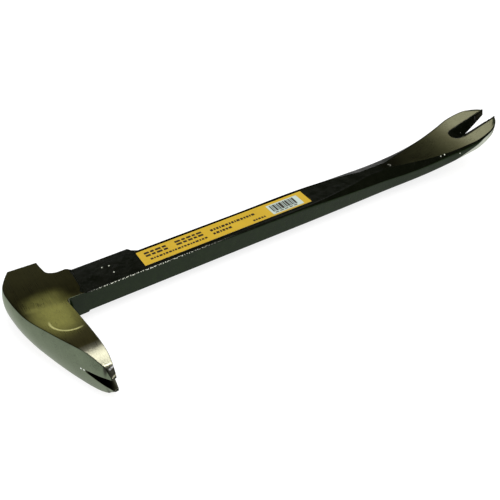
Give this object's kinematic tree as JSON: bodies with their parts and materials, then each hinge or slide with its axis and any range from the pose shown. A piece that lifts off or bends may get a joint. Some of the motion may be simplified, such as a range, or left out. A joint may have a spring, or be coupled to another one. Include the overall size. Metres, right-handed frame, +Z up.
{
  "type": "pry bar",
  "caption": "One-piece forged nail puller and pry bar: slotted side claw with a striking poll, painted straight shank, and a slotted tail claw that bends up.",
  "frame": {"origin": "centre of the bounding box's footprint, at the height of the lower cheek of the head, which rests on the floor", "axes": "+X along the shank from the head to the tail claw, +Y across the shank from the head claw to the striking poll, +Z up, the way the tail claw bends"},
  "size_m": [0.305, 0.086, 0.0277],
  "materials": {
    "forged_steel": "ground and lacquered steel with fine brush lines",
    "black_enamel": "glossy black enamel over a forged skin",
    "clear_adhesive": "clear pressure-sensitive adhesive",
    "yellow_film": "satin yellow label film",
    "dark_ink": "flat dark brown ink",
    "white_ink": "flat pale ink",
    "barcode_ink": "flat dark ink"
  },
  "bodies": {
    "root": {"forged_bar": "forged_steel", "enamel_coat": "black_enamel", "label_adhesive": "clear_adhesive", "label_film": "yellow_film", "label_print": "dark_ink", "barcode_patch": "white_ink", "barcode_bars": "barcode_ink"}
  },
  "joints": []
}
